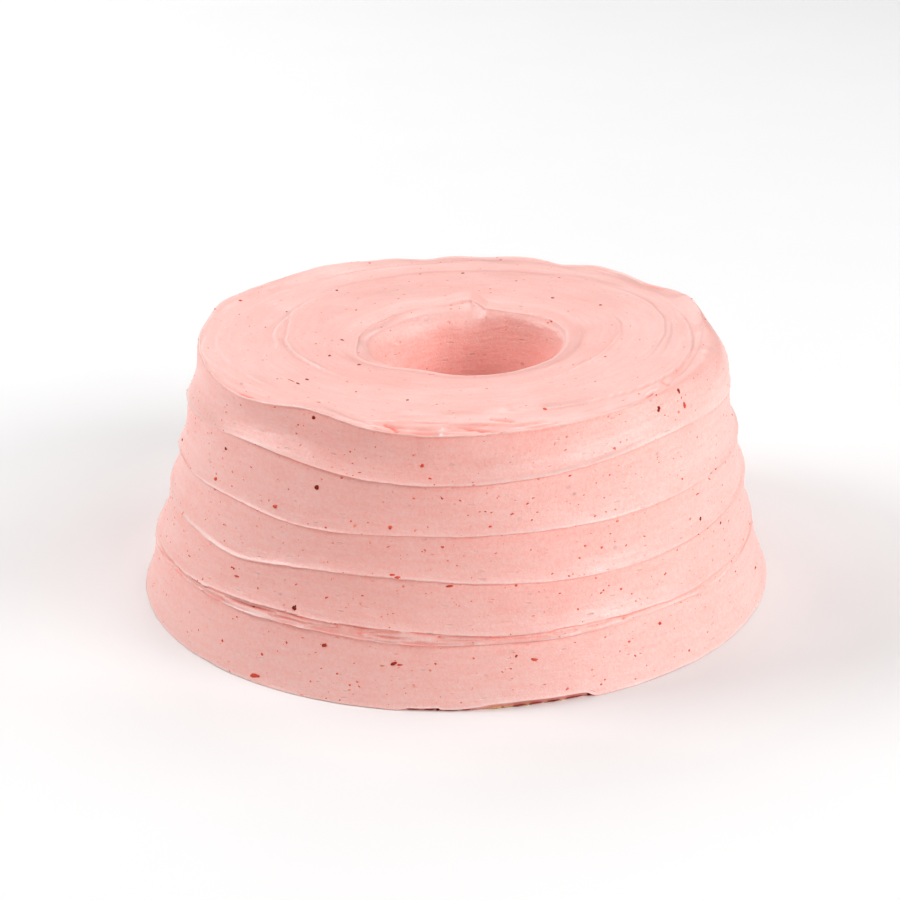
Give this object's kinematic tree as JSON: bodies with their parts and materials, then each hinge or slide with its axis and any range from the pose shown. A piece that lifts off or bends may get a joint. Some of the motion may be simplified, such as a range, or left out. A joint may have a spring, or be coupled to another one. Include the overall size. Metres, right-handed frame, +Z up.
{
  "type": "angel food cake",
  "caption": "Whole uncut ring cake, wider at the foot, coated in pink strawberry frosting swept round in level spatula ridges, with a hole through the middle.",
  "frame": {"origin": "centre of the cake's flat underside, under the middle of its box", "axes": "+Z up out of the top, -Y to the side that faces the viewer, +X to that side's right"},
  "size_m": [0.2132, 0.2136, 0.0864],
  "materials": {
    "frosting": "soft satin buttercream, pale strawberry pink with red and dark flecks"
  },
  "bodies": {
    "root": {"frosted_cake": "frosting"}
  },
  "joints": []
}
